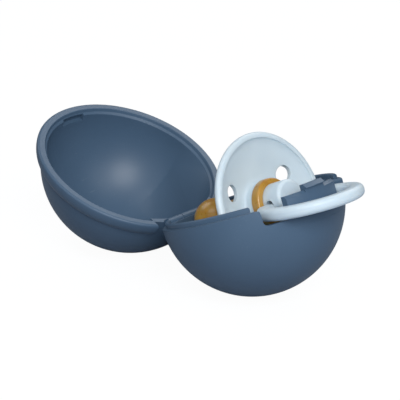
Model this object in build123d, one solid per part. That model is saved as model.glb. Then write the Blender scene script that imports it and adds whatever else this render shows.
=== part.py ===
from build123d import *
from math import cos, radians, sin, sqrt, tan
import os

# A ball-shaped carrying and sterilising case with a soother in it.
#
# Design frame, in millimetres: the origin is the centre of the case's ball, +X runs from the
# hinge to the latch and +Z is square to the base's rim, out of its mouth. The lid is drawn
# closed, in the same frame. At the end the lid is swung open, the case is tilted until both
# halves stand on the table, and the origin goes to the middle of its footprint.

# ---------------------------------------------------------------- driving dimensions

# both halves
ball_radius = 30.0
wall = 3.4                    # of the base
lid_wall = 1.6
edge_round = 0.3              # of the small edges on both rims
open_angle = 134.2            # where the two halves meet behind the hinge
parting_gap = 0.15            # between the two rims when the case is shut
stop_gap = 0.1                # between the two stop faces when the case is open

# the base's lip, which goes into the lid's rebate
lip_setback = 1.3             # from the ball's surface in to the lip
lip_thickness = 1.2
lip_height = 1.7
lip_chamfer = 0.4

# the window in the base's front wall, where the ring comes out
window_half_width = 20.3
window_floor_gap = 0.56       # from the ring's underside, at its middle, to the window's floor
window_draft = 5.0            # degrees that each end leans
window_floor_round = 1.7
window_top_round = 1.0

# the latch: a springy post that stands in the window, with a catch on its middle
post_side_gap = 0.7           # between the post and the inside of the ring
post_thickness = 1.9
post_height = 1.6
post_bevel = 0.9
catch_half_width = 4.4
catch_height = 3.4
nose_height = 1.9             # the catch's flat underside, above the rim
nose_reach = 0.7              # how far the nose stands out of the post
nose_blunt = 0.25
catch_top_inset = 1.2

# the lid's rim
rim_reach = 2.1               # how far the rim stands out of the ball
rim_corner = 0.8              # the round of its outer edge
rim_belly = 6.0               # the radius of its outer side, which curves in to the ball
belly_sweep = 60.0            # degrees of that curve, before the ball cuts it short
crease_round = 0.3
rebate_mouth_gap = 0.75       # between the base's lip and the rebate, at the rim's face
rebate_side_gap = 0.4         # and at the rebate's end
rebate_height = 1.2
ledge_slope = 38.0            # degrees that the ledge beyond the rebate leans
groove_side_gap = 0.2         # between the catch and the lid's pocket
latch_gap = 0.4               # round the catch, on its other sides
undercut_gap = 0.1            # between the nose and the lid's shelf

# the hinge
hinge_setback = 0.78          # from the ball's surface in to the hinge's axis
knuckle_radius = 1.6
lid_knuckle_half_length = 4.0
hinge_half_length = 10.5
knuckle_gap = 0.25
pin_radius = 0.7
pin_press_gap = 0.01
pin_running_gap = 0.05
pin_end_inset = 0.3
web_height = 6.5
hinge_bay_half_width = 14.2   # the rim, the rebate and the lip stop here
lip_end_gap = 0.4

# the soother's shield
shield_thickness = 1.4
rim_thickness = 2.4
rim_width = 2.1
rim_step = 0.7                # from the rim's face down to the dish
rim_step_round = 0.25
shield_dish = 5.65            # from the rim's face back to the dish's middle
shield_tilt = 4.1
shield_setback = 21.08        # from the ball's front back to the middle of the rim's face
shield_drop = 1.03            # from the base's rim down to the middle of the shield
shield_seat_gap = 0.3         # between the shield's rim and the base
hub_radius = 8.6
hub_rise = 3.8                # from the dish's middle forward to the hub's face
hub_blend = 1.8               # the round where the hub grows out of the dish
hub_round = 0.5
vent_radius = 2.8
vent_circle_radius = 14.3
vent_count = 3

# the soother's teat
flange_radius = 8.0
flange_thickness = 3.6
flange_round = 0.8
neck_radius = 4.6
neck_gap = 0.1                # between the neck and the shield's hole
bulb_radius = 7.1
bulb_end_gap = 1.2            # between the bulb and the base's back wall
bulb_blend = 4.0
rubber = 1.5

# the soother's knob
knob_radius = 6.0
knob_length = 7.3
knob_round = 1.2
stem_length = 10.6
stem_gap = 0.05
barb_reach = 0.5
barb_length = 1.6
eye_half_width = 1.9          # of the upright slot across the knob
eye_height = 5.0
eye_distance = 2.35           # from the knob's foot to the slot's middle
eye_rise = 1.35               # from the knob's axis up to the slot's top

# the soother's ring
ring_radius = 17.4
ring_width = 5.1
ring_thickness = 4.0
ring_round = 1.7
ring_tilt = 2.2               # how far the ring's far side hangs down
ring_bar_radius = 1.8
ring_bar_seat_gap = 0.1       # between the bar and the bottom of the slot that it lies in
ring_bar_inset = 12.0         # from the ring's centre back to its bar
ring_side_gap = 0.3
ring_bar_root = 1.5           # how deep the bar's ends sit in the ring
ring_heel_round = 1.5         # along the ring's straight back
ring_heel_margin = 0.05       # by which the shape of the back clears the ring's flat sides

# ---------------------------------------------------------------- worked out from them

inner_radius = ball_radius - wall
lid_inner_radius = ball_radius - lid_wall
lip_outer_radius = ball_radius - lip_setback
lip_inner_radius = lip_outer_radius - lip_thickness
hinge_x = -(ball_radius - hinge_setback)
stand_tilt = (180.0 - open_angle) / 2
knuckle_relief = knuckle_radius + knuckle_gap
post_inner_radius = lip_outer_radius - post_thickness
nose_radius = lip_outer_radius + nose_reach
rim_radius = ball_radius + rim_reach
rebate_mouth_radius = lip_outer_radius + rebate_mouth_gap
rebate_radius = lip_outer_radius + rebate_side_gap
far = 3 * ball_radius

# The shield's rim is a round bead on a circle, and its lowest point stands off the base's inner
# wall by the seat gap. The place of the shield's middle is given, so that sets its radius.
tilt_cos = cos(radians(shield_tilt))
tilt_sin = sin(radians(shield_tilt))
shield_x = ball_radius - shield_setback
shield_z = -shield_drop
rim_bead_radius = rim_thickness / 2
bead_x = shield_x - rim_bead_radius * tilt_cos
bead_z = shield_z - rim_bead_radius * tilt_sin
seat_reach = inner_radius - shield_seat_gap - rim_bead_radius
seat_slant = bead_x * tilt_sin - bead_z * tilt_cos
seat_room = seat_reach ** 2 - bead_x ** 2 - bead_z ** 2
rim_circle_radius = sqrt(seat_slant ** 2 + seat_room) - seat_slant
shield_radius = rim_circle_radius + rim_bead_radius

dish_width = shield_radius - rim_width
dish_depth = shield_dish - rim_step
dish_curve = (dish_width ** 2 + dish_depth ** 2) / (2 * dish_depth)
dish_centre = dish_curve - shield_dish
hub_face = hub_rise - shield_dish
knob_foot = hub_face + flange_thickness
eye_place = knob_foot + eye_distance
bar_drop = eye_height - eye_rise - ring_bar_seat_gap - ring_bar_radius
bore_radius = neck_radius - rubber
stem_radius = bore_radius - stem_gap

# The bulb's centre lies on the soother's axis, where the bulb just clears the base's back wall.
bulb_reach = inner_radius - bulb_end_gap - bulb_radius
axis_run = shield_x * tilt_cos + shield_z * tilt_sin
axis_miss = shield_x * tilt_sin - shield_z * tilt_cos
bulb_distance = axis_run + sqrt(bulb_reach ** 2 - axis_miss ** 2)

# The soother's own frame: X is the case's Y, Y is up and Z runs forward along the knob.
soother_frame = Plane(origin=(shield_x, 0, shield_z), x_dir=(0, 1, 0),
                      z_dir=(tilt_cos, 0, tilt_sin))
bar_x = shield_x + eye_place * tilt_cos + bar_drop * tilt_sin
bar_z = shield_z + eye_place * tilt_sin - bar_drop * tilt_cos

# The window's floor lies below the ring, and the post stands inside it.
ring_tilt_sin = sin(radians(ring_tilt))
ring_tilt_cos = cos(radians(ring_tilt))
ring_underside = bar_z - ring_bar_inset * ring_tilt_sin - ring_thickness / 2 * ring_tilt_cos
window_depth = window_floor_gap - ring_underside
post_half_width = ring_radius - ring_width - post_side_gap


# ---------------------------------------------------------------- drawing helpers

def outline(*points):
    """A closed straight-sided outline as a face."""
    return make_face(Polyline(*points, close=True))


def spin(section):
    """Turn a section, drawn as radius and height, once round the Z axis."""
    return revolve(Plane.XZ * section, Axis.Z)


def slab(low, high):
    """A box between two opposite corners."""
    size = [b - a for a, b in zip(low, high)]
    middle = [(a + b) / 2 for a, b in zip(low, high)]
    return Pos(*middle) * Box(*size)


def front_strip(half_width):
    """The space in front of the hinge's side of the ball, near the middle."""
    return slab((0, -half_width, -far), (far, half_width, far))


def back_strip(half_width):
    """The same space on the hinge's side."""
    return slab((-far, -half_width, -far), (0, half_width, far))


def hinge_rod(radius, start, end):
    """A round bar on the hinge's axis, from one Y to another."""
    rod = Cylinder(radius, end - start)
    return Pos(hinge_x, (start + end) / 2, 0) * Rot(90, 0, 0) * rod


# ---------------------------------------------------------------- both halves of the case

def half_plane(start, side):
    """Everything outward of the Z axis, above a height for side 1 or below it for side -1."""
    return Pos(far / 2, start + side * far / 2) * Rectangle(far, far)


def rounded(section, radius, *places):
    """A section with the corners nearest to the given places rounded."""
    corners = [section.vertices().sort_by_distance((*place, 0))[0] for place in places]
    return fillet(corners, radius)


def behind_stop(side):
    """The space behind one half's stop face, which runs through the hinge's axis."""
    block = Pos((stop_gap - far) / 2, 0, side * far / 2) * Box(far, far, far)
    return Pos(hinge_x, 0, 0) * Rot(0, -side * stand_tilt, 0) * block


def hinge_web(side, start, end, inside):
    """The gusset from a knuckle up or down its own half's wall, whose inner radius is given."""
    rim = parting_gap if side > 0 else 0.0
    shoulder = 1.2 * knuckle_radius
    shoulder_x = hinge_x - shoulder * tan(radians(stand_tilt))
    foot_x = hinge_x + 1.5 * knuckle_radius
    front_x = hinge_x + 2 * knuckle_radius
    side_view = outline((front_x, side * rim), (hinge_x, side * rim), (shoulder_x, side * shoulder),
                        (foot_x, side * web_height), (front_x, side * web_height))
    web = Pos(0, start, 0) * extrude(Plane.XZ * side_view, amount=start - end)
    return web - behind_stop(side) - Sphere(inside)


# ---------------------------------------------------------------- the base

def window_cutter():
    """The window's outline, pushed forward through the front wall."""
    lean = window_depth * tan(radians(window_draft))
    opening = outline((-window_half_width + lean, -window_depth),
                      (window_half_width - lean, -window_depth),
                      (window_half_width, 0), (-window_half_width, 0))
    above = Pos(0, wall) * Rectangle(2 * window_half_width + 4 * window_top_round, 2 * wall)
    shape = opening + above
    floor_corners = [v for v in shape.vertices() if abs(v.Y + window_depth) < 0.01]
    shape = fillet(floor_corners, window_floor_round)
    top_corners = [v for v in shape.vertices()
                   if abs(v.Y) < 0.01 and abs(v.X) < window_half_width + window_top_round]
    shape = fillet(top_corners, window_top_round)
    return extrude(Plane.YZ * shape, amount=far)


def base_lip():
    """The lip inside the rim, from the window's ends back to the hinge."""
    section = outline((lip_inner_radius, -wall / 2), (lip_outer_radius, -wall / 2),
                      (lip_outer_radius, lip_height - lip_chamfer),
                      (lip_outer_radius - lip_chamfer, lip_height),
                      (lip_inner_radius + lip_chamfer, lip_height),
                      (lip_inner_radius, lip_height - lip_chamfer))
    front = front_strip(window_half_width + window_top_round)
    back = back_strip(hinge_bay_half_width + lip_end_gap)
    return spin(section) - front - back


def latch_post():
    """The post in the window, with its outer top edge bevelled."""
    foot = -window_depth - wall
    section = outline((post_inner_radius, foot), (lip_outer_radius, foot),
                      (lip_outer_radius, post_height - post_bevel),
                      (lip_outer_radius - post_bevel, post_height),
                      (post_inner_radius, post_height))
    return spin(section) & front_strip(post_half_width)


def latch_catch():
    """The catch: a ramp down to a nose with a flat underside."""
    section = outline((post_inner_radius, 0), (lip_outer_radius, 0),
                      (lip_outer_radius, nose_height), (nose_radius, nose_height),
                      (nose_radius, nose_height + nose_blunt),
                      (nose_radius - catch_top_inset, catch_height),
                      (post_inner_radius, catch_height))
    return spin(section) & front_strip(catch_half_width)


def base_wall():
    section = (Circle(ball_radius) - Circle(inner_radius)) & half_plane(0, -1)
    return spin(rounded(section, edge_round, (ball_radius, 0)))


def base_shell():
    inner_end = lid_knuckle_half_length + knuckle_gap
    base = base_wall() - window_cutter() - behind_stop(-1)
    base += base_lip()
    base += latch_post()
    base += latch_catch()
    base -= hinge_rod(knuckle_relief, -inner_end, inner_end)
    for start, end in ((-hinge_half_length, -inner_end), (inner_end, hinge_half_length)):
        base += hinge_web(-1, start, end, inner_radius)
        base += hinge_rod(knuckle_radius, start, end)
    return base - hinge_rod(pin_radius + pin_press_gap, -far, far)


# ---------------------------------------------------------------- the lid

def rim_outline():
    """The rim's face, its round outer edge and the belly that curves in to the ball."""
    inside = lid_inner_radius - lid_wall
    corner = parting_gap + rim_corner
    edge = CenterArc((rim_radius - rim_corner, corner), rim_corner, -90, 90)
    belly = CenterArc((rim_radius - rim_belly, corner), rim_belly, 0, belly_sweep)
    top = (belly @ 1).Y
    return make_face([Line((inside, parting_gap), edge @ 0), edge, belly,
                      Line(belly @ 1, (inside, top)), Line((inside, top), (inside, parting_gap))])


def rebate_outline():
    """What the base's lip goes into: a steep wall, then a ledge that leans in to the dome."""
    inside = lid_inner_radius - lid_wall
    rise = (rebate_radius - inside) * tan(radians(ledge_slope))
    return outline((inside, -lid_wall), (rebate_mouth_radius, -lid_wall),
                   (rebate_mouth_radius, parting_gap), (rebate_radius, rebate_height),
                   (inside, rebate_height + rise))


def section_crease():
    """Where the rim's belly runs in to the ball, on the section."""
    corner = parting_gap + rim_corner
    middle = rim_radius - rim_belly
    reach = sqrt(middle ** 2 + corner ** 2)
    along = (ball_radius ** 2 - rim_belly ** 2 + reach ** 2) / (2 * reach)
    aside = sqrt(ball_radius ** 2 - along ** 2)
    return ((middle * along - corner * aside) / reach, (corner * along + middle * aside) / reach)


def lid_wall_and_rim():
    plain = (Circle(ball_radius) - Circle(lid_inner_radius)) & half_plane(parting_gap, 1)
    rimmed = (Circle(ball_radius) + rim_outline() - Circle(lid_inner_radius)
              - rebate_outline()) & half_plane(parting_gap, 1)
    rimmed = rounded(rimmed, crease_round, section_crease())
    rimmed = rounded(rimmed, edge_round, (rebate_mouth_radius, parting_gap),
                     (lid_inner_radius, rebate_height + edge_round))
    back = back_strip(hinge_bay_half_width)
    return (spin(rimmed) - back) + (spin(plain) & back)


def catch_pocket():
    """The space that the catch needs, with a shelf for the nose to hook over."""
    inner = post_inner_radius - latch_gap
    outer = nose_radius + groove_side_gap
    entry = lip_outer_radius + groove_side_gap
    shelf = nose_height - undercut_gap
    top = catch_height + latch_gap
    section = outline((inner, -wall), (entry, -wall), (entry, shelf),
                      (outer, shelf), (outer, top), (inner, top))
    return spin(section) & front_strip(catch_half_width + latch_gap)


def lid_shell():
    lid = lid_wall_and_rim() - catch_pocket() - behind_stop(1)
    for start, end in ((-hinge_half_length - knuckle_gap, -lid_knuckle_half_length),
                       (lid_knuckle_half_length, hinge_half_length + knuckle_gap)):
        lid -= hinge_rod(knuckle_relief, start, end)
    lid += hinge_web(1, -lid_knuckle_half_length, lid_knuckle_half_length, lid_inner_radius)
    lid += hinge_rod(knuckle_radius, -lid_knuckle_half_length, lid_knuckle_half_length)
    return lid - hinge_rod(pin_radius + pin_running_gap, -far, far)


def hinge_pin():
    end = hinge_half_length - pin_end_inset
    return hinge_rod(pin_radius, -end, end)


# ---------------------------------------------------------------- the soother

def dish_height(radius, offset):
    """The height of the dish's front face, or of a face a given depth behind it."""
    return dish_centre - sqrt((dish_curve + offset) ** 2 - radius ** 2)


def dish_arc(start, end, offset):
    """The curve of the dish between two radii."""
    middle = (start + end) / 2
    return ThreePointArc((start, dish_height(start, offset)), (middle, dish_height(middle, offset)),
                         (end, dish_height(end, offset)))


def pacifier_shield():
    hole = neck_radius + neck_gap
    front = dish_arc(hub_radius, dish_width, 0)
    back = dish_arc(dish_width, hole, shield_thickness)
    rim = ThreePointArc((rim_circle_radius, 0), (shield_radius, -rim_bead_radius),
                        (rim_circle_radius, -rim_thickness))
    edges = [
        Line((hole, hub_face), (hub_radius, hub_face)),
        Line((hub_radius, hub_face), front @ 0),
        front,
        Line(front @ 1, (dish_width, 0)),
        Line((dish_width, 0), rim @ 0),
        rim,
        Line(rim @ 1, back @ 0),
        back,
        Line(back @ 1, (hole, hub_face)),
    ]
    section = make_face(edges)
    hub_foot = (hub_radius, dish_height(hub_radius, 0))
    section = rounded(section, hub_blend, hub_foot)
    section = rounded(section, hub_round, (hub_radius, hub_face))
    section = rounded(section, rim_step_round, (dish_width, 0), (dish_width, -rim_step))
    shield = spin(section)
    vents = PolarLocations(vent_circle_radius, vent_count, start_angle=-90)
    shield -= vents * Cylinder(vent_radius, far)
    return soother_frame * shield


def pacifier_nipple():
    bulb_back = -bulb_distance
    neck_end = bulb_back + sqrt(bulb_radius ** 2 - neck_radius ** 2)
    cavity_radius = bulb_radius - rubber
    bore_end = bulb_back + sqrt(cavity_radius ** 2 - bore_radius ** 2)
    barb_top = knob_foot - stem_length + barb_length
    barb_bottom = knob_foot - stem_length - stem_gap
    recess = bore_radius + barb_reach
    bulb = ThreePointArc((neck_radius, neck_end), (bulb_radius, bulb_back),
                         (0, bulb_back - bulb_radius))
    cavity = ThreePointArc((0, bulb_back - cavity_radius), (cavity_radius, bulb_back),
                           (bore_radius, bore_end))
    edges = [
        Line((flange_radius, knob_foot), (flange_radius, hub_face)),
        Line((flange_radius, hub_face), (neck_radius, hub_face)),
        Line((neck_radius, hub_face), bulb @ 0),
        bulb,
        Line(bulb @ 1, cavity @ 0),
        cavity,
        Line(cavity @ 1, (bore_radius, barb_bottom)),
        Line((bore_radius, barb_bottom), (recess, barb_bottom)),
        Line((recess, barb_bottom), (bore_radius, barb_top)),
        Line((bore_radius, barb_top), (bore_radius, knob_foot)),
        Line((bore_radius, knob_foot), (flange_radius, knob_foot)),
    ]
    section = make_face(edges)
    flange_corners = [v for v in section.vertices() if v.X > flange_radius - 0.01]
    section = fillet(flange_corners, flange_round)
    bulb_corner = [v for v in section.vertices()
                   if abs(v.X - neck_radius) < 0.01 and abs(v.Y - neck_end) < 0.01]
    section = fillet(bulb_corner, bulb_blend)
    return soother_frame * spin(section)


def pacifier_knob():
    """The knob's head and its barbed stem, with a slot across it for the ring."""
    head = Pos(0, 0, knob_foot + knob_length / 2) * Cylinder(knob_radius, knob_length)
    front_edge = head.edges().filter_by(GeomType.CIRCLE).sort_by(Axis.Z)[-1]
    head = fillet(front_edge, knob_round)
    stem = Pos(0, 0, knob_foot - stem_length / 2) * Cylinder(stem_radius, stem_length)
    barb = Pos(0, 0, knob_foot - stem_length + barb_length / 2) * Cone(
        stem_radius + barb_reach, stem_radius, barb_length)
    slot = Plane.YZ * SlotOverall(eye_height, 2 * eye_half_width)
    eye = Pos(0, eye_rise - eye_height / 2, eye_place) * extrude(slot, amount=far, both=True)
    return soother_frame * (head + stem + barb - eye)


def pacifier_ring():
    """A rounded ring with a straight back, whose middle is a bar through the knob's slot."""
    section = Pos(ring_radius - ring_width / 2, 0) * RectangleRounded(ring_width, ring_thickness,
                                                                      ring_round)
    heel = -ring_bar_inset - ring_bar_radius
    side_view = Pos(heel + far / 2, 0) * Rectangle(far, ring_thickness + 2 * ring_heel_margin)
    heel_corners = side_view.vertices().sort_by(Axis.X)[:2]
    side_view = fillet(heel_corners, ring_heel_round)
    ring = spin(section) & extrude(Plane.XZ * side_view, amount=far, both=True)
    gap = knob_radius + ring_side_gap
    ring -= back_strip(gap)
    bar = Rot(90, 0, 0) * Cylinder(ring_bar_radius, 2 * (gap + ring_bar_root))
    ring += Pos(-ring_bar_inset, 0, 0) * bar
    return Pos(bar_x, 0, bar_z) * Rot(0, ring_tilt, 0) * Pos(ring_bar_inset, 0, 0) * ring


# ---------------------------------------------------------------- the whole, open on a table

open_lid = Pos(hinge_x, 0, 0) * Rot(0, -open_angle, 0) * Pos(-hinge_x, 0, 0)
stand = Pos(0, 0, ball_radius) * Rot(0, -stand_tilt, 0)

pieces = {
    "base_shell": stand * base_shell(),
    "lid_shell": stand * open_lid * lid_shell(),
    "hinge_pin": stand * hinge_pin(),
    "pacifier_shield": stand * pacifier_shield(),
    "pacifier_nipple": stand * pacifier_nipple(),
    "pacifier_knob": stand * pacifier_knob(),
    "pacifier_ring": stand * pacifier_ring(),
}

boxes = [piece.bounding_box() for piece in pieces.values()]
left = min(box.min.X for box in boxes)
right = max(box.max.X for box in boxes)
footprint = Pos(-(left + right) / 2, 0, 0)

os.makedirs("parts", exist_ok=True)
for name, piece in pieces.items():
    export_step(footprint * piece, "parts/" + name + ".step")

for name, place in (("hinge axis", (hinge_x, 0, 0)), ("ring axis", (bar_x, 0, bar_z))):
    spot = (footprint * stand * Pos(*place)).position
    print(name, "at x", round(spot.X, 4), "z", round(spot.Z, 4))
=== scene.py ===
from math import asin, cos, degrees, pi, radians, sin, sqrt

import bpy
from mathutils import Matrix, Vector


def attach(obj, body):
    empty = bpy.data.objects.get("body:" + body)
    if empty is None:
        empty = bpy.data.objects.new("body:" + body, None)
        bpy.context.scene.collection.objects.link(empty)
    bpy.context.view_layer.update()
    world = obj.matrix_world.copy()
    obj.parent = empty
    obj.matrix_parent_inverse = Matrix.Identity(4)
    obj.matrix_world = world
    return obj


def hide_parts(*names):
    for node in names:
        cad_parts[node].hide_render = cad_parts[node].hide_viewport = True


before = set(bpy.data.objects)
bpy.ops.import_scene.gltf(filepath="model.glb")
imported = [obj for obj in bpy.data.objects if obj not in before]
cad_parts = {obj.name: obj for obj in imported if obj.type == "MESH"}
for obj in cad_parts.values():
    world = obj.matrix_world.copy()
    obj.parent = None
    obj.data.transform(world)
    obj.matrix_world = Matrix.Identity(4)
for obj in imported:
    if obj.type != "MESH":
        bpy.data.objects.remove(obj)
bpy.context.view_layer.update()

# A ball-shaped case, open on a table with a soother in its base. Everything is in metres, in the
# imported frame: +X runs from the open lid to the latch, +Z is up and the table is at height 0.

# ---------------------------------------------------------------- colours, as linear values

case_blue = (0.057, 0.104, 0.171)
case_blue_light = (0.069, 0.120, 0.191)
case_scuffed = (0.100, 0.150, 0.215)
soother_blue = (0.535, 0.640, 0.722)
soother_blue_light = (0.580, 0.686, 0.764)
soother_scuffed = (0.640, 0.730, 0.790)
latex_deep = (0.345, 0.165, 0.018)
latex_amber = (0.480, 0.285, 0.050)

# ---------------------------------------------------------------- sizes and places

mm = 0.001
ball_middle = Vector((0.0217317, 0.0, 0.030))    # of the base's ball
shield_middle = Vector((0.0303495, 0.0, 0.0325222))
soother_lean = radians(27.0)                     # how far the soother's axis points up

# The soother's sizes, in mm, with distances along its axis from the middle of the shield's front.
bulb_place = -27.0
bulb_radius = 7.1
rubber = 1.5
neck_radius = 4.6
neck_blend = 4.0                # the round between the bulb and the neck
neck_waist = 0.06               # how much slimmer the neck is half way along
neck_foot = 1.0                 # the stretch by the flange where it widens again
neck_foot_waist = 0.04
bore_radius = 3.15
bore_bevel = 0.2
barb_recess = 0.47              # the groove in the bore that the knob's barb sits in
barb_start = -8.97
barb_end = -7.15
barb_slope = 0.1
flange_radius = 8.0
flange_back = -1.83
flange_front = 1.73
flange_round = 0.8
teat_tip_angle = 174.0          # degrees, where the outline starts, just off the axis
hollow_tip_angle = 172.0
teat_sides = 48

shield_radius = 23.45
shield_thickness = 1.4
rim_bead_radius = 1.2
rim_width = 2.1
rim_step = 0.7
rim_step_round = 0.25
dish_depth = 5.65
hub_face = -1.85
hub_radius = 7.3
hub_round = 0.5
hub_blend = 1.0
neck_gap = 0.1
hole_bevel = 0.15
dish_steps = 10
shield_sides = 128
vent_radius = 2.8
vent_circle_radius = 14.3
vent_count = 3
vent_middle = -3.5
vent_cutter_length = 10.0
vent_sides = 64


# ---------------------------------------------------------------- small helpers

def add_node(tree, kind, **values):
    """A new node with its settings and the values of its unlinked inputs."""
    node = tree.nodes.new(kind)
    for name, value in values.items():
        if name in node.inputs:
            node.inputs[name].default_value = value
        else:
            setattr(node, name, value)
    return node


def link(tree, source, output, target, socket):
    tree.links.new(source.outputs[output], target.inputs[socket])


def set_inputs(node, **values):
    """Set unlinked inputs of a node that is already there, named with _ for each space."""
    for name, value in values.items():
        node.inputs[name.replace("_", " ")].default_value = value


def new_group(name, inputs, outputs):
    """An empty node group with named inputs and outputs."""
    group = bpy.data.node_groups.new(name, "ShaderNodeTree")
    for label, kind in inputs:
        group.interface.new_socket(label, in_out="INPUT", socket_type=kind)
    for label, kind in outputs:
        group.interface.new_socket(label, in_out="OUTPUT", socket_type=kind)
    return group, group.nodes.new("NodeGroupInput"), group.nodes.new("NodeGroupOutput")


# ---------------------------------------------------------------- shared effects

def moulded_skin():
    """The fine spark-eroded grain of a matt mould, with faint flow clouds under it."""
    group, start, end = new_group(
        "moulded_skin",
        [("Vector", "NodeSocketVector"), ("Grain", "NodeSocketFloat"),
         ("Clouds", "NodeSocketFloat")],
        [("Height", "NodeSocketFloat"), ("Cloud", "NodeSocketFloat"),
         ("Speckle", "NodeSocketFloat")])
    grain = add_node(group, "ShaderNodeTexNoise", Detail=3.0, Roughness=0.62)
    link(group, start, "Vector", grain, "Vector")
    link(group, start, "Grain", grain, "Scale")
    clouds = add_node(group, "ShaderNodeTexNoise", Detail=2.0, Roughness=0.5, Distortion=0.6)
    link(group, start, "Vector", clouds, "Vector")
    link(group, start, "Clouds", clouds, "Scale")
    soft = add_node(group, "ShaderNodeMapRange", interpolation_type="SMOOTHSTEP",
                    **{"From Min": 0.3, "From Max": 0.7})
    link(group, clouds, "Fac", soft, "Value")
    link(group, grain, "Fac", end, "Height")
    link(group, grain, "Fac", end, "Speckle")
    link(group, soft, "Result", end, "Cloud")
    return group


def handling_marks():
    """Sparse hairline scuffs from handling, in patches, as a mask."""
    group, start, end = new_group(
        "handling_marks",
        [("Vector", "NodeSocketVector"), ("Size", "NodeSocketFloat"),
         ("Amount", "NodeSocketFloat")],
        [("Scuff", "NodeSocketFloat")])
    stretch = add_node(group, "ShaderNodeMapping", Rotation=(0.5, 0.3, 0.7),
                       Scale=(1.0, 0.06, 1.0))
    link(group, start, "Vector", stretch, "Vector")
    hairs = add_node(group, "ShaderNodeTexNoise", Detail=2.0, Roughness=0.5, Distortion=0.3)
    link(group, stretch, "Vector", hairs, "Vector")
    link(group, start, "Size", hairs, "Scale")
    fine = add_node(group, "ShaderNodeMapRange", **{"From Min": 0.66, "From Max": 0.74})
    link(group, hairs, "Fac", fine, "Value")
    patches = add_node(group, "ShaderNodeTexNoise", Scale=45.0, Detail=1.0)
    link(group, start, "Vector", patches, "Vector")
    where = add_node(group, "ShaderNodeMapRange", interpolation_type="SMOOTHSTEP",
                     **{"From Min": 0.45, "From Max": 0.7})
    link(group, patches, "Fac", where, "Value")
    both = add_node(group, "ShaderNodeMath", operation="MULTIPLY")
    link(group, fine, "Result", both, 0)
    link(group, where, "Result", both, 1)
    scaled = add_node(group, "ShaderNodeMath", operation="MULTIPLY")
    link(group, both, "Value", scaled, 0)
    link(group, start, "Amount", scaled, 1)
    link(group, scaled, "Value", end, "Scuff")
    return group


skin_group = moulded_skin()
marks_group = handling_marks()

# ---------------------------------------------------------------- finishes

colour_result = 2              # the colour output of a Mix node
scuff_roughness = 0.12         # by which a scuff is rougher than the plastic round it
cloud_share = 0.6              # of the latex's change of colour


def new_finish(name):
    """A material with its tree, its surface shader and the piece's own coordinates."""
    material = bpy.data.materials.new(name)
    material.use_nodes = True
    tree = material.node_tree
    return material, tree, tree.nodes["Principled BSDF"], add_node(tree, "ShaderNodeTexCoord")


def place_skin(tree, place, grain, clouds):
    """The mould's grain and clouds on a piece, by how fine each is."""
    skin = add_node(tree, "ShaderNodeGroup", node_tree=skin_group, Grain=grain, Clouds=clouds)
    link(tree, place, "Object", skin, "Vector")
    return skin


def place_relief(tree, skin, surface, bump, depth):
    """The grain as a slight relief."""
    relief = add_node(tree, "ShaderNodeBump", Strength=bump, Distance=depth)
    link(tree, skin, "Height", relief, "Height")
    link(tree, relief, "Normal", surface, "Normal")


def colour_mix(tree, source, output, dark, light):
    """Two colours mixed by a mask."""
    colour = add_node(tree, "ShaderNodeMix", data_type="RGBA")
    colour.inputs["A"].default_value = (*dark, 1)
    colour.inputs["B"].default_value = (*light, 1)
    link(tree, source, output, colour, "Factor")
    return colour


def skin_roughness(tree, skin, low, high):
    """A roughness that varies with the grain."""
    roughness = add_node(tree, "ShaderNodeMapRange", **{"From Min": 0.3, "From Max": 0.7,
                                                        "To Min": low, "To Max": high})
    link(tree, skin, "Speckle", roughness, "Value")
    return roughness


def moulded_plastic(name, dark, light, scuffed, rough, grain, clouds, bump, glow):
    """Satin moulded plastic with faint clouds and scuffs, and some glow where it is pale."""
    material, tree, surface, place = new_finish(name)
    skin = place_skin(tree, place, grain, clouds)
    marks = add_node(tree, "ShaderNodeGroup", node_tree=marks_group, Size=1500.0, Amount=0.5)
    link(tree, place, "Object", marks, "Vector")
    clean = colour_mix(tree, skin, "Cloud", dark, light)
    worn = colour_mix(tree, marks, "Scuff", dark, scuffed)
    link(tree, clean, colour_result, worn, "A")
    link(tree, worn, colour_result, surface, "Base Color")
    roughness = skin_roughness(tree, skin, rough - 0.05, rough + 0.05)
    rubbed = add_node(tree, "ShaderNodeMath", operation="MULTIPLY_ADD")
    link(tree, marks, "Scuff", rubbed, 0)
    rubbed.inputs[1].default_value = scuff_roughness
    link(tree, roughness, "Result", rubbed, 2)
    link(tree, rubbed, "Value", surface, "Roughness")
    set_inputs(surface, Specular_IOR_Level=0.35, Subsurface_Weight=glow,
               Subsurface_Radius=(0.9, 1.0, 1.1), Subsurface_Scale=0.004)
    place_relief(tree, skin, surface, bump, 0.0001)
    return material


def amber_rubber(name):
    """Translucent natural rubber, whose colour turns from amber at the bulb to deep at the flange."""
    material, tree, surface, place = new_finish(name)
    skin = place_skin(tree, place, 420.0, 160.0)
    along = add_node(tree, "ShaderNodeMapping", vector_type="TEXTURE", Location=shield_middle,
                     Rotation=(0.0, -soother_lean, 0.0))
    link(tree, place, "Object", along, "Vector")
    split = add_node(tree, "ShaderNodeSeparateXYZ")
    link(tree, along, "Vector", split, "Vector")
    depth = add_node(tree, "ShaderNodeMapRange", interpolation_type="SMOOTHSTEP",
                     **{"From Min": -0.030, "From Max": 0.004, "To Min": 0.35, "To Max": 0.0})
    link(tree, split, "X", depth, "Value")
    share = add_node(tree, "ShaderNodeMath", operation="MULTIPLY_ADD")
    link(tree, skin, "Cloud", share, 0)
    share.inputs[1].default_value = cloud_share
    link(tree, depth, "Result", share, 2)
    colour = colour_mix(tree, share, "Value", latex_deep, latex_amber)
    link(tree, colour, colour_result, surface, "Base Color")
    link(tree, skin_roughness(tree, skin, 0.26, 0.36), "Result", surface, "Roughness")
    set_inputs(surface, Subsurface_Weight=0.35, Subsurface_Radius=(1.0, 0.5, 0.12),
               Subsurface_Scale=0.0015, Coat_Weight=0.25, Coat_Roughness=0.3)
    place_relief(tree, skin, surface, 0.15, 0.0003)
    return material


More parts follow.
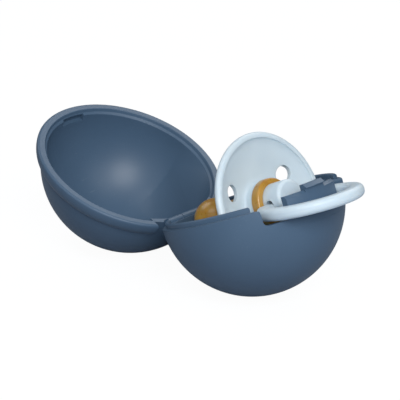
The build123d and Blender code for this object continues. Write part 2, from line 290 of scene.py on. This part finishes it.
case_plastic = moulded_plastic(
    "slate_blue_case_plastic", case_blue, case_blue_light, case_scuffed,
    rough=0.40, grain=2600.0, clouds=22.0, bump=0.25, glow=0.0)
soother_plastic = moulded_plastic(
    "ice_blue_soother_plastic", soother_blue, soother_blue_light, soother_scuffed,
    rough=0.38, grain=3200.0, clouds=60.0, bump=0.12, glow=0.5)
latex = amber_rubber("amber_latex")

finishes = {"base_shell": case_plastic, "lid_shell": case_plastic, "hinge_pin": case_plastic,
            "pacifier_shield": soother_plastic, "pacifier_knob": soother_plastic,
            "pacifier_ring": soother_plastic, "pacifier_nipple": latex}
for name, finish in finishes.items():
    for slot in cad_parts[name].material_slots:
        slot.material = finish

# ---------------------------------------------------------------- turned pieces of the soother

def arc(middle, radius, start, end, steps):
    """Points on a round stretch of an outline, with angles in degrees from the axis."""
    angles = [radians(start + (end - start) * step / steps) for step in range(steps + 1)]
    return [(middle[0] + radius * cos(angle), middle[1] + radius * sin(angle))
            for angle in angles]


def turned(name, outline, vertices):
    """A piece drawn ring by ring through its outline's distances and radii, round the Z axis."""
    distance, radius = outline[0]
    bpy.ops.object.select_all(action="DESELECT")
    bpy.ops.mesh.primitive_circle_add(vertices=vertices, radius=radius * mm, fill_type="NOTHING",
                                      location=(0, 0, distance * mm))
    piece = bpy.context.object
    piece.name = name
    bpy.ops.object.transform_apply(location=True)
    bpy.ops.object.mode_set(mode="EDIT")
    bpy.ops.mesh.select_mode(type="EDGE")
    bpy.ops.mesh.select_all(action="SELECT")
    for next_distance, next_radius in outline[1:]:
        bpy.ops.mesh.extrude_edges_move()
        bpy.ops.transform.translate(value=(0, 0, (next_distance - distance) * mm))
        bpy.ops.transform.resize(value=(next_radius / radius, next_radius / radius, 1),
                                 center_override=(0, 0, next_distance * mm))
        distance, radius = next_distance, next_radius
    bpy.ops.mesh.select_all(action="SELECT")
    bpy.ops.mesh.remove_doubles(threshold=0.000001)
    bpy.ops.object.mode_set(mode="OBJECT")
    return piece


def lay_on_axis(piece):
    """Turn a finished piece's mesh on to the soother's axis."""
    bpy.ops.object.select_all(action="DESELECT")
    piece.select_set(True)
    bpy.context.view_layer.objects.active = piece
    bpy.ops.object.mode_set(mode="EDIT")
    bpy.ops.mesh.select_all(action="SELECT")
    bpy.ops.mesh.normals_make_consistent(inside=False)
    bpy.ops.transform.rotate(value=soother_lean - pi / 2, orient_axis="Y",
                             center_override=(0, 0, 0))
    bpy.ops.transform.translate(value=shield_middle)
    bpy.ops.object.mode_set(mode="OBJECT")


def close_ends(piece):
    """Fill a turned piece's two small end rings."""
    bpy.ops.object.mode_set(mode="EDIT")
    bpy.ops.mesh.select_all(action="DESELECT")
    bpy.ops.mesh.select_non_manifold()
    bpy.ops.mesh.fill_holes(sides=0)
    bpy.ops.object.mode_set(mode="OBJECT")


def teat_outline():
    """From the bulb's end over the neck and the flange, and back inside to the hollow's end."""
    blend_reach = bulb_radius + neck_blend
    blend_height = neck_radius + neck_blend
    blend_place = bulb_place + sqrt(blend_reach ** 2 - blend_height ** 2)
    blend_angle = degrees(asin(blend_height / blend_reach))    # where the two rounds meet
    corner_radius = flange_radius - flange_round
    hollow_radius = bulb_radius - rubber
    hollow_mouth = degrees(asin(bore_radius / hollow_radius))  # where it meets the bore
    return (arc((bulb_place, 0), bulb_radius, teat_tip_angle, blend_angle, 12)
            + arc((blend_place, blend_height), neck_blend, 180 + blend_angle, 270, 4)[1:]
            + [(bulb_place / 2, neck_radius - neck_waist),
               (flange_back - neck_foot, neck_radius - neck_foot_waist),
               (flange_back, neck_radius)]
            + arc((flange_back + flange_round, corner_radius), flange_round, 180, 90, 4)
            + arc((flange_front - flange_round, corner_radius), flange_round, 90, 0, 4)
            + [(flange_front, bore_radius + bore_bevel), (flange_front - bore_bevel, bore_radius),
               (barb_end + barb_slope, bore_radius), (barb_end, bore_radius + barb_recess),
               (barb_start, bore_radius + barb_recess), (barb_start - barb_slope, bore_radius)]
            + arc((bulb_place, 0), hollow_radius, hollow_mouth, hollow_tip_angle, 10))


def latex_teat():
    """The hollow dipped teat, with its corners softened."""
    teat = turned("soother_teat", teat_outline(), teat_sides)
    close_ends(teat)
    soft = teat.modifiers.new("dipped_softness", "SUBSURF")
    soft.levels = soft.render_levels = 1
    bpy.ops.object.modifier_apply(modifier=soft.name)
    bpy.ops.object.shade_smooth()
    lay_on_axis(teat)
    teat.data.materials.append(latex)
    return teat


def shield_outline():
    """From the hole's back edge over the hub, the dish and the rim, and along the back."""
    dish_width = shield_radius - rim_width
    depth = dish_depth - rim_step
    curve = (dish_width ** 2 + depth ** 2) / (2 * depth)

    def dish(radius, behind):
        """How far along the axis the dish is at a radius, in front or on its back."""
        return curve - dish_depth - sqrt((curve + behind) ** 2 - radius ** 2)

    hole = neck_radius + neck_gap
    foot = dish(hub_radius + hub_blend, 0)
    bead_circle = shield_radius - rim_bead_radius
    front_start = hub_radius + hub_blend
    front_width = dish_width - rim_step_round - hub_radius - hub_blend
    front_radii = [front_start + front_width * step / dish_steps
                   for step in range(1, dish_steps + 1)]
    back_radii = [dish_width + (hole - dish_width) * step / dish_steps
                  for step in range(dish_steps + 1)]
    return ([(dish(hole, shield_thickness), hole), (hub_face - hole_bevel, hole),
             (hub_face, hole + hole_bevel)]
            + arc((hub_face - hub_round, hub_radius - hub_round), hub_round, 0, 90, 4)
            + arc((foot + hub_blend, hub_radius + hub_blend), hub_blend, 270, 180, 5)
            + [(dish(radius, 0), radius) for radius in front_radii]
            + arc((rim_step_round - rim_step, dish_width - rim_step_round), rim_step_round,
                  180, 90, 3)[1:]
            + arc((-rim_step_round, dish_width + rim_step_round), rim_step_round, 270, 360, 3)
            + arc((-rim_bead_radius, bead_circle), rim_bead_radius, 0, 180, 12)
            + [(dish(radius, shield_thickness), radius) for radius in back_radii])


def dished_shield():
    """The soother's shield with its three vents cut through."""
    shield = turned("soother_shield", shield_outline(), shield_sides)
    bpy.ops.object.mode_set(mode="EDIT")
    bpy.ops.mesh.select_all(action="SELECT")
    bpy.ops.mesh.normals_make_consistent(inside=False)
    bpy.ops.object.mode_set(mode="OBJECT")
    for number in range(vent_count):
        around = 2 * pi * number / vent_count
        place = Vector((vent_circle_radius * cos(around), vent_circle_radius * sin(around),
                        vent_middle)) * mm
        bpy.ops.object.select_all(action="DESELECT")
        bpy.ops.mesh.primitive_cylinder_add(vertices=vent_sides, radius=vent_radius * mm,
                                            depth=vent_cutter_length * mm, location=place)
        vent = bpy.context.object
        bpy.ops.object.select_all(action="DESELECT")
        bpy.context.view_layer.objects.active = shield
        cut = shield.modifiers.new("vent", "BOOLEAN")
        cut.object = vent
        cut.operation = "DIFFERENCE"
        cut.solver = "EXACT"
        bpy.ops.object.modifier_apply(modifier=cut.name)
        bpy.data.objects.remove(vent)
    lay_on_axis(shield)
    bpy.ops.object.shade_smooth_by_angle(angle=radians(40))
    shield.data.materials.append(soother_plastic)
    return shield


for piece, node, slot in ((latex_teat(), "pacifier_nipple", "natural_rubber"),
                          (dished_shield(), "pacifier_shield", "soother_plastic")):
    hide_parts(node)
    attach(piece, "pacifier")

# ---------------------------------------------------------------- floor, lights, camera

floor_radius = 1.6
floor_paint = (0.30, 0.34, 0.40, 1)    # what the case sees of the floor
floor_glow = 1.13                      # what the camera sees of it, mixed in by floor_glow_share
floor_glow_share = 0.85
sky_light = 0.1

aim = ball_middle + Vector((-0.0224006, -0.0000669, -0.0048033))
softbox_distance = 0.9
softboxes = (                          # name, azimuth, elevation, size and power
    ("key_softbox", 50.0, 36.0, 0.5, 6.3),
    ("right_softbox", 88.0, 36.0, 0.65, 1.9),
    ("left_softbox", 5.0, 25.0, 0.5, 0.45),
    ("top_softbox", -12.0, 60.0, 0.4, 1.1),
    ("back_softbox", 270.0, 40.0, 0.5, 1.2),
    ("rear_softbox", 195.0, 38.0, 0.6, 2.0))

camera_azimuth = 41.79
camera_elevation = 20.85
camera_roll = 0.90
camera_distance = 0.9022
camera_lens = 248.4


def floor_material():
    """Paint that the camera sees as nearly white, while it throws little light on the case."""
    material = bpy.data.materials.new("white_table")
    material.use_nodes = True
    tree = material.node_tree
    paint = tree.nodes["Principled BSDF"]
    set_inputs(paint, Base_Color=floor_paint, Roughness=0.7)
    glow = add_node(tree, "ShaderNodeEmission", Color=(1, 1, 1, 1), Strength=floor_glow)
    ray = add_node(tree, "ShaderNodeLightPath")
    share = add_node(tree, "ShaderNodeMath", operation="MULTIPLY")
    share.inputs[1].default_value = floor_glow_share
    link(tree, ray, "Is Camera Ray", share, 0)
    mix = add_node(tree, "ShaderNodeMixShader")
    link(tree, share, "Value", mix, "Fac")
    link(tree, paint, "BSDF", mix, 1)
    link(tree, glow, "Emission", mix, 2)
    link(tree, mix, "Shader", tree.nodes["Material Output"], "Surface")
    return material


def lay_floor():
    """A round pale floor, which belongs to the stage and not to the part."""
    bpy.ops.object.select_all(action="DESELECT")
    bpy.ops.mesh.primitive_circle_add(vertices=96, radius=floor_radius, fill_type="NGON")
    floor = bpy.context.object
    floor.name = "table_top"
    floor.data.materials.append(floor_material())


def light_sky():
    """A world that is white to the camera and nearly unlit for everything else."""
    world = bpy.data.worlds.new("white_studio")
    bpy.context.scene.world = world
    world.use_nodes = True
    tree = world.node_tree
    background = tree.nodes["Background"]
    set_inputs(background, Color=(1, 1, 1, 1))
    seen = add_node(tree, "ShaderNodeLightPath")
    strength = add_node(tree, "ShaderNodeMapRange", **{"To Min": sky_light, "To Max": 1.0})
    link(tree, seen, "Is Camera Ray", strength, "Value")
    link(tree, strength, "Result", background, "Strength")


def direction(azimuth, elevation):
    """A unit vector up and round from -Y towards +X, in degrees."""
    turn = Matrix.Rotation(radians(azimuth), 3, "Z") @ Matrix.Rotation(-radians(elevation), 3, "X")
    return turn @ Vector((0, -1, 0))


def add_softbox(name, azimuth, elevation, size, power):
    """A round area light that faces the aim."""
    place = aim + direction(azimuth, elevation) * softbox_distance
    bpy.ops.object.light_add(type="AREA", location=place)
    lamp = bpy.context.object
    lamp.name = name
    lamp.rotation_euler = (aim - place).to_track_quat("-Z", "Y").to_euler()
    lamp.data.shape = "DISK"
    lamp.data.size = size
    lamp.data.energy = power


def add_camera():
    """A camera that faces the aim, with a slight roll."""
    place = aim + direction(camera_azimuth, camera_elevation) * camera_distance
    bpy.ops.object.camera_add(location=place)
    camera = bpy.context.object
    turn = (Matrix.Rotation(radians(camera_azimuth), 3, "Z")
            @ Matrix.Rotation(pi / 2 - radians(camera_elevation), 3, "X")
            @ Matrix.Rotation(radians(camera_roll), 3, "Z"))
    camera.rotation_euler = turn.to_euler()
    camera.data.lens = camera_lens
    camera.data.sensor_width = 36.0
    camera.data.clip_start = 0.05
    bpy.context.scene.camera = camera


lay_floor()
light_sky()
for softbox in softboxes:
    add_softbox(*softbox)
add_camera()
bpy.context.scene.view_settings.view_transform = "Standard"
